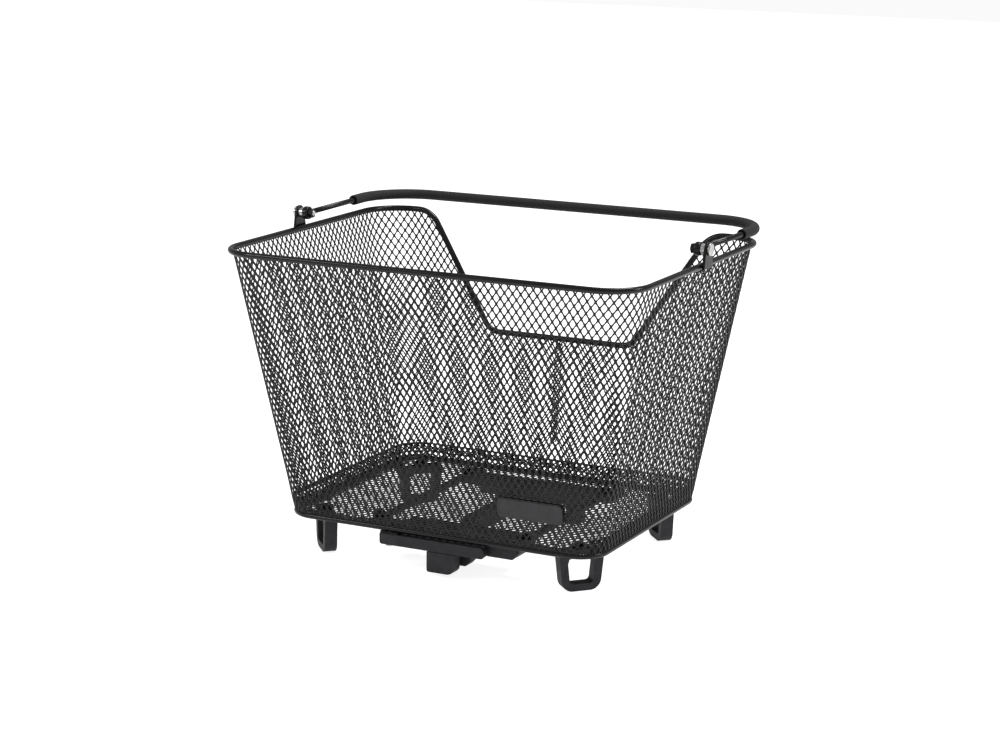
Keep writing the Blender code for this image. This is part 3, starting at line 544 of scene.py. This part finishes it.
# on three sides the floor's edge is turned up inside the wall
hem = diamondGrid(columns, lattice["hemRows"])
for face in [face for face in hem.faces if wallOf(face.calc_center_median().x) == "near"]:
    hem.faces.remove(face)
bmesh.ops.delete(hem, geom=[edge for edge in hem.edges if not edge.link_faces], context="EDGES")
for vert in hem.verts:
    row = vert.co.y * lattice["hemRow"] / (tub["height"] / lattice["rows"])
    vert.co = tubPoint(vert.co.x + lattice["hemShift"], row, -lattice["lapGap"])
closeBand(hem, tubPoint(lattice["hemShift"], 0, -lattice["lapGap"]).x)
bmesh.ops.recalc_face_normals(hem, faces=hem.faces)
mergeInto(floorPanel, openedMesh(hem, lattice["hemStrand"]))
addPiece("floorLattice", floorPanel, "meshCoat", "tub", ["floor_mesh"])

lap = diamondGrid(1, lattice["lapRows"])            # the wall's ends overlap by one column
for vert in lap.verts:
    vert.co = tubPoint(vert.co.x - lattice["lapShift"], vert.co.y + lattice["lapStart"] + lattice["lapShift"],
                       lattice["lapGap"])
bmesh.ops.recalc_face_normals(lap, faces=lap.faces)
addPiece("seamLattice", openedMesh(lap, lattice["strand"]), "meshCoat", "tub", ["seam_strip"])
print("mesh opened")


# Handle: a bent rod with an eye at each end, and a sleeve over the cross bar
handle = {
    "pivot": (0.0, 0.0, 0.2688), "wire": 0.0050, "reach": 0.160, "spread": 0.0065, "bend": 0.050,
    "drop": 0.0012,
    "eyeRadius": 0.0060, "eyeThickness": 0.0055, "eyeHole": 0.0028, "eyeGap": 0.0003,
    "eyeEdge": 0.0009, "eyeSteps": 40,
    "armStart": 0.7,                # the arm begins this far out inside its eye
    "sleeve": 0.0096, "sleeveWall": 0.0013, "sleeveOnArm": 0.070, "sleeveLip": 0.0005,
    "edgeSegments": 3, "bendSteps": 22, "wireRounding": 6, "sleeveRounding": 8,
}
handlePivot = Vector(handle["pivot"])
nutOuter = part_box("pivot_nut_right")[1].x           # each eye turns just outside its nut
handle["eyeX"] = nutOuter + handle["eyeGap"] + handle["eyeThickness"] / 2


def handlePath(start):
    drop = handle["drop"] / handle["reach"]
    lean = handle["spread"] / handle["reach"]
    armX = handle["eyeX"] + handle["spread"]
    corners = [(-handle["eyeX"] - lean * start, start, -drop * start),
               (-armX, handle["reach"], -handle["drop"]), (armX, handle["reach"], -handle["drop"]),
               (handle["eyeX"] + lean * start, start, -drop * start)]
    bends = [0, handle["bend"], handle["bend"], 0]
    return [point + handlePivot for point in filleted(corners, bends, handle["bendSteps"], closed=False)]


def eyeRing(side):       # a flat ring with rounded edges about the pivot's axis
    bm = bmesh.new()
    halfThickness = handle["eyeThickness"] / 2
    corners = [(handle["eyeHole"], -halfThickness), (handle["eyeRadius"], -halfThickness),
               (handle["eyeRadius"], halfThickness), (handle["eyeHole"], halfThickness)]
    verts = [bm.verts.new((side * handle["eyeX"] + x, r, 0)) for r, x in corners]
    for first, last in zip(verts, verts[1:] + verts[:1]):
        bm.edges.new((first, last))
    bmesh.ops.bevel(bm, geom=bm.verts[:], offset=handle["eyeEdge"], segments=handle["edgeSegments"],
                    profile=0.5, affect="VERTICES", material=-1)
    bmesh.ops.spin(bm, geom=[*bm.verts, *bm.edges], cent=(0, 0, 0), axis=(1, 0, 0), angle=2 * math.pi,
                   steps=handle["eyeSteps"], use_merge=True)
    bmesh.ops.translate(bm, verts=bm.verts, vec=handlePivot)
    bmesh.ops.recalc_face_normals(bm, faces=bm.faces)
    return bm


rod = sweptWire(handlePath(handle["eyeRadius"] * handle["armStart"]), handle["wire"] / 2,
                handle["wireRounding"])
for side in (-1, 1):
    mergeInto(rod, eyeRing(side))
addPiece("handleRod", rod, "powderCoat", "handle", ["handle_rod"])

sleeve = sweptWire(handlePath(handle["reach"] - handle["sleeveOnArm"]), handle["sleeve"] / 2,
                   handle["sleeveRounding"], capped=False)
bmesh.ops.solidify(sleeve, geom=sleeve.faces[:], thickness=handle["sleeveWall"])
bmesh.ops.recalc_face_normals(sleeve, faces=sleeve.faces)
lips = [edge for edge in sleeve.edges if len(edge.link_faces) == 2
        and edge.calc_face_angle(0) > making["roundFrom"]]
bmesh.ops.bevel(sleeve, geom=lips, offset=handle["sleeveLip"], segments=handle["edgeSegments"], profile=0.5,
                affect="EDGES", material=-1)
addPiece("gripSleeve", sleeve, "foamSleeve", "handle", ["grip_sleeve"])
print("handle bent")


# Feet: an outer outline and a window are bridged, thickened, and their edges rounded
foot = {
    "x": 0.127, "y": 0.088, "turn": 47, "top": 0.0134, "reach": 0.0375, "topWidth": 0.0425,
    "bottomWidth": 0.0345, "thickness": 0.0115, "post": 0.0073, "bar": 0.0065, "topBar": 0.0070,
    "corner": 0.0090, "windowCorner": 0.0032, "edge": 0.0013, "cornerSegments": 6, "edgeSegments": 3,
    "sharpAngle": 40,
}


def roundedLoop(bm, corners, radii):
    verts = [bm.verts.new((x, 0, z)) for x, z in corners]
    edges = [bm.edges.new(pair) for pair in zip(verts, verts[1:] + verts[:1])]
    before = set(bm.edges) - set(edges)
    for vert, radius in zip(verts, radii):
        if radius:
            bmesh.ops.bevel(bm, geom=[vert], offset=radius, segments=foot["cornerSegments"], profile=0.5,
                            affect="VERTICES", material=-1)
    return [edge for edge in bm.edges if edge not in before]


def makeFoot(place, turn):
    bm = bmesh.new()
    top = foot["top"]
    bottom = tub["ringZ"] - foot["reach"]
    halfTop = foot["topWidth"] / 2
    halfBottom = foot["bottomWidth"] / 2
    lean = (halfTop - halfBottom) / (top - bottom)
    outer = roundedLoop(bm, [(-halfTop, top), (halfTop, top), (halfBottom, bottom), (-halfBottom, bottom)],
                        [0, 0, foot["corner"], foot["corner"]])
    high = top - foot["topBar"]
    low = bottom + foot["bar"]
    halfHigh = halfTop - lean * foot["topBar"] - foot["post"]
    halfLow = halfBottom + lean * foot["bar"] - foot["post"]
    window = roundedLoop(bm, [(-halfHigh, high), (halfHigh, high), (halfLow, low), (-halfLow, low)],
                         [foot["windowCorner"]] * 4)
    bmesh.ops.bridge_loops(bm, edges=outer + window)
    moved = bmesh.ops.extrude_face_region(bm, geom=bm.faces[:])["geom"]
    bmesh.ops.translate(bm, verts=vertsIn(moved), vec=(0, foot["thickness"], 0))
    bmesh.ops.translate(bm, verts=bm.verts, vec=(0, -foot["thickness"] / 2, 0))
    bmesh.ops.recalc_face_normals(bm, faces=bm.faces)
    edges = [edge for edge in bm.edges if edge.calc_face_angle(0) > making["roundFrom"]]
    bmesh.ops.bevel(bm, geom=edges, offset=foot["edge"], segments=foot["edgeSegments"], profile=0.5,
                    affect="EDGES", material=-1, clamp_overlap=True)
    bmesh.ops.transform(bm, matrix=Matrix.Translation(place) @ Matrix.Rotation(turn, 4, "Z"), verts=bm.verts)
    return bm


for sideY, depth in ((-1, "near"), (1, "far")):
    for sideX, end in ((-1, "left"), (1, "right")):
        place = (sideX * foot["x"], tub["ringShift"] + sideY * foot["y"], 0)
        bm = makeFoot(place, math.radians(-sideX * sideY * foot["turn"]))
        addPiece(f"{depth}{end.title()}Foot", bm, "mouldedPlastic", "tub", [f"foot_{depth}_{end}"],
                 foot["sharpAngle"])
print("feet made")


# Pieces whose shape is already right get rounded edges: a copy is merged and bevelled
refinements = [     # node, finish, edge width, segments
    *[(f"ear_{side}", "powderCoat", 0.0005, 3) for side in ("left", "right")],
    *[(f"pivot_screw_{side}", "zinc", 0.0006, 3) for side in ("left", "right")],
    *[(f"pivot_spacer_{side}", "zinc", 0.0003, 2) for side in ("left", "right")],
    *[(f"pivot_nut_{side}", "powderCoat", 0.0003, 2) for side in ("left", "right")],
    *[(f"rail_{side}", "mouldedPlastic", 0.0005, 2) for side in ("left", "centre", "right")],
    ("near_bracket", "mouldedPlastic", 0.0006, 2), ("far_bracket", "mouldedPlastic", 0.0006, 2),
    ("near_claw", "mouldedPlastic", 0.0, 0), ("far_claw_left", "mouldedPlastic", 0.0, 0),
    ("far_claw_right", "mouldedPlastic", 0.0, 0),
    ("lever_pin", "zinc", 0.0002, 2),
    ("latch_hook", "mouldedPlastic", 0.0006, 2), ("return_spring", "springSteel", 0.0, 0),
    ("badge_plate", "badgePlastic", 0.0006, 3), ("badge_backplate", "badgePlastic", 0.0003, 2),
]
for place in ("near_left", "near_right", "far_left", "far_right"):
    for kind in ("foot", "rail"):
        refinements.append((f"{kind}_screw_{place}", "powderCoat", 0.0004, 2))
        refinements.append((f"{kind}_washer_{place}", "powderCoat", 0.0002, 2))
capNut = {"radius": 0.0034, "flatness": 0.22, "around": 24, "rings": 12}
# the lever's front is one smooth bar; behind its left end it is low, and clears the lug that holds its pin
lever = {
    "heel": 0.008, "step": 0.0105, "play": 0.0002, "proud": 0.0003, "skin": 0.0015, "skinOverlap": 0.0004,
    "heelCorner": 0.0026, "noseCorner": 0.0046, "lowCorner": 0.0034, "frontEdge": 0.0011, "backEdge": 0.0006,
    "cornerSegments": 8, "edgeSegments": 4,
    "swing": 11,                    # degrees
    "peg": 0.0050, "pegLength": 0.0040, "pegX": 0.0068, "pegSides": 32,
    "lug": 0.0040,                  # how far the lug reaches below the lever's top
}
shadeFrom = 42                      # edges sharper than this many degrees stay sharp
leverLow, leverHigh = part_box("release_lever")
leverPin = (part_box("lever_pin")[0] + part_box("lever_pin")[1]) / 2
leverBottom = leverLow.z + lever["pegLength"]
lever["frontY"] = leverLow.y - lever["proud"]
lever["skinY"] = leverLow.y + lever["skin"]


def trimLug(bm):        # the lug stays behind the lever's skin, at rest and swung out
    for turn in (0, lever["swing"]):
        away = Vector((-math.sin(math.radians(turn)), -math.cos(math.radians(turn)), 0))
        start = leverPin + away * (leverPin.y - lever["skinY"] - lever["play"])
        sliced = bmesh.ops.bisect_plane(bm, geom=[*bm.verts, *bm.edges, *bm.faces], dist=making["samePlace"],
                                        plane_co=start, plane_no=away, clear_outer=True)["geom_cut"]
        bmesh.ops.contextual_create(bm, geom=edgesIn(sliced))
    bmesh.ops.recalc_face_normals(bm, faces=bm.faces)


def refined(node, finish, width, segments):
    source = frame["nodes"][node]
    bm = bmesh.new()
    bm.from_mesh(source.data)
    bmesh.ops.remove_doubles(bm, verts=bm.verts, dist=making["samePlace"])
    bmesh.ops.dissolve_limit(bm, angle_limit=making["flatWithin"], verts=bm.verts[:], edges=bm.edges[:])
    if node == "near_bracket":
        trimLug(bm)
    if segments:
        sharp = [edge for edge in bm.edges if len(edge.link_faces) == 2
                 and edge.calc_face_angle(0) > making["bevelFrom"]]
        bmesh.ops.bevel(bm, geom=sharp, offset=width, segments=segments, profile=0.5, affect="EDGES",
                        material=-1, clamp_overlap=True)
    for face in bm.faces:
        face.material_index = 0
    name = "".join(word.title() if i else word for i, word in enumerate(node.split("_"))) + "Fine"
    return addPiece(name, bm, finish, body_of(source)[0], [node], shadeFrom)


def capTheNut(piece, node):
    low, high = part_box(node)
    inner = high.x if low.x < 0 else low.x
    cap = bmesh.new()
    bmesh.ops.create_uvsphere(cap, u_segments=capNut["around"], v_segments=capNut["rings"],
                              radius=capNut["radius"])
    bmesh.ops.scale(cap, verts=cap.verts, vec=(capNut["flatness"], 1, 1))
    bmesh.ops.translate(cap, verts=cap.verts, vec=(inner, handlePivot.y, handlePivot.z))
    bm = bmesh.new()
    bm.from_mesh(piece.data)
    mergeInto(bm, cap)
    bm.to_mesh(piece.data)
    bm.free()


for node, finish, width, segments in refinements:
    piece = refined(node, finish, width, segments)
    if node.startswith("pivot_nut"):
        capTheNut(piece, node)
print("small pieces refined:", len(refinements))


def leverBar(corners, radii, front, back, edgeWidth):       # an outline seen from the front, given its depth
    bm = bmesh.new()
    verts = [bm.verts.new((x, front, z)) for x, z in corners]
    bm.faces.new(verts)
    for vert, radius in zip(verts, radii):
        if radius:
            bmesh.ops.bevel(bm, geom=[vert], offset=radius, segments=lever["cornerSegments"], profile=0.5,
                            affect="VERTICES", material=-1)
    moved = bmesh.ops.extrude_face_region(bm, geom=bm.faces[:])["geom"]
    bmesh.ops.translate(bm, verts=vertsIn(moved), vec=(0, back - front, 0))
    bmesh.ops.recalc_face_normals(bm, faces=bm.faces)
    edges = [edge for edge in bm.edges if edge.calc_face_angle(0) > making["roundFrom"]
             and all(abs(vert.co.y - front) < making["samePlace"] for vert in edge.verts)]
    bmesh.ops.bevel(bm, geom=edges, offset=edgeWidth, segments=lever["edgeSegments"], profile=0.5,
                    affect="EDGES", material=-1, clamp_overlap=True)
    return bm


left = leverPin.x - lever["heel"]
right = leverHigh.x
step = leverPin.x + lever["step"]
lugBottom = leverHigh.z - lever["lug"]
inset = lever["skinOverlap"]
skin = leverBar([(left, leverBottom), (right, leverBottom), (right, leverHigh.z), (left, leverHigh.z)],
                [lever["heelCorner"], lever["lowCorner"], lever["noseCorner"], lever["heelCorner"] / 3],
                lever["frontY"], lever["skinY"], lever["frontEdge"])
bar = leverBar([(left + inset, leverBottom + inset / 4), (right - inset, leverBottom + inset / 4),
                (right - inset, leverHigh.z - inset), (step, leverHigh.z - inset), (step, lugBottom),
                (left + inset, lugBottom)],
               [lever["heelCorner"], lever["lowCorner"], lever["noseCorner"], 0, 0, 0],
               leverHigh.y, lever["skinY"] - inset, lever["backEdge"])
mergeInto(skin, bar)
peg = bmesh.new()
bmesh.ops.create_cone(peg, cap_ends=True, segments=lever["pegSides"], radius1=lever["peg"] / 2,
                      radius2=lever["peg"] / 2, depth=lever["pegLength"] + lever["proud"])
bmesh.ops.translate(peg, verts=peg.verts,
                    vec=(lever["pegX"], leverPin.y, leverBottom - lever["pegLength"] / 2))
mergeInto(skin, peg)
addPiece("releaseLeverBar", skin, "mouldedPlastic", "lever", ["release_lever"], shadeFrom)
print("lever shaped")


# Camera, floor and light
view = {"from": (0.9868, -1.9297, 0.6315), "to": (0.0057, 0.0, 0.1367), "lens": 88.53, "sensor": 36.0,
        "roll": 0.42}
cameraData = bpy.data.cameras.new("viewCamera")
cameraData.lens = view["lens"]
cameraData.sensor_width = view["sensor"]
camera = bpy.data.objects.new("viewCamera", cameraData)
bpy.context.scene.collection.objects.link(camera)
camera.location = view["from"]
aim = (Vector(view["to"]) - Vector(view["from"])).to_track_quat("-Z", "Y")
camera.rotation_euler = (aim @ Quaternion((0, 0, 1), math.radians(view["roll"]))).to_euler()
bpy.context.scene.camera = camera

studio = {"floorSize": 12.0, "floorColour": (0.88, 0.88, 0.885), "floorRoughness": 0.9, "floorGloss": 0.1,
          "floorGlow": 0.44, "floorShown": 0.86,
          "sky": (0.955, 0.955, 0.96), "skyStrength": 0.38, "backdropStrength": 1.0}
bm = bmesh.new()
bmesh.ops.create_grid(bm, x_segments=1, y_segments=1, size=studio["floorSize"] / 2)
bmesh.ops.translate(bm, verts=bm.verts, vec=(0, 0, cadBox[0][2]))
floorMesh = bpy.data.meshes.new("studioFloor")
bm.to_mesh(floorMesh)
bm.free()
studioFloor = bpy.data.objects.new("studioFloor", floorMesh)
bpy.context.scene.collection.objects.link(studioFloor)
floorFinish = bpy.data.materials.new("studioFloor")
floorFinish.use_nodes = True
floorShader = floorFinish.node_tree.nodes["Principled BSDF"]
floorShader.inputs["Base Color"].default_value = (*studio["floorColour"], 1)
floorShader.inputs["Roughness"].default_value = studio["floorRoughness"]
floorShader.inputs["Specular IOR Level"].default_value = studio["floorGloss"]
floorShader.inputs["Emission Color"].default_value = (1, 1, 1, 1)
floorGlow = floorFinish.node_tree.nodes.new("ShaderNodeMapRange")      # lit from below, as a light table
floorSeen = floorFinish.node_tree.nodes.new("ShaderNodeLightPath")
floorGlow.inputs["To Min"].default_value = studio["floorGlow"]
floorGlow.inputs["To Max"].default_value = studio["floorShown"]
floorFinish.node_tree.links.new(floorSeen.outputs["Is Camera Ray"], floorGlow.inputs["Value"])
floorFinish.node_tree.links.new(floorGlow.outputs["Result"], floorShader.inputs["Emission Strength"])
floorMesh.materials.append(floorFinish)

world = bpy.data.worlds.new("studio")
bpy.context.scene.world = world
world.use_nodes = True
sky = world.node_tree.nodes["Background"]
sky.inputs["Color"].default_value = (*studio["sky"], 1)
sky.inputs["Strength"].default_value = studio["skyStrength"]
backdrop = world.node_tree.nodes.new("ShaderNodeBackground")
backdrop.inputs["Color"].default_value = (*studio["sky"], 1)
backdrop.inputs["Strength"].default_value = studio["backdropStrength"]
shown = world.node_tree.nodes.new("ShaderNodeMixShader")       # the backdrop is brighter than its light
seen = world.node_tree.nodes.new("ShaderNodeLightPath")
world.node_tree.links.new(seen.outputs["Is Camera Ray"], shown.inputs["Fac"])
world.node_tree.links.new(sky.outputs["Background"], shown.inputs[1])
world.node_tree.links.new(backdrop.outputs["Background"], shown.inputs[2])
world.node_tree.links.new(shown.outputs["Shader"], world.node_tree.nodes["World Output"].inputs["Surface"])

lamps = {       # place, what it points at, size, power
    "topSoftbox": ((0.25, 0.45, 1.8), (0, 0, 0.1), 0.6, 18),
    "leftStrip": ((-1.4, -1.5, 1.3), (0, 0, 0.15), 0.35, 7),
    "rightStrip": ((1.7, 0.3, 1.2), (0, 0, 0.15), 0.35, 8),
}
for lampName, (lampPlace, lampAim, lampSize, lampPower) in lamps.items():
    lamp = bpy.data.lights.new(lampName, "AREA")
    lamp.size = lampSize
    lamp.energy = lampPower
    holder = bpy.data.objects.new(lampName, lamp)
    bpy.context.scene.collection.objects.link(holder)
    holder.location = lampPlace
    holder.rotation_euler = (Vector(lampAim) - Vector(lampPlace)).to_track_quat("-Z", "Y").to_euler()
bpy.context.scene.view_settings.view_transform = "Standard"
print("camera and light set")
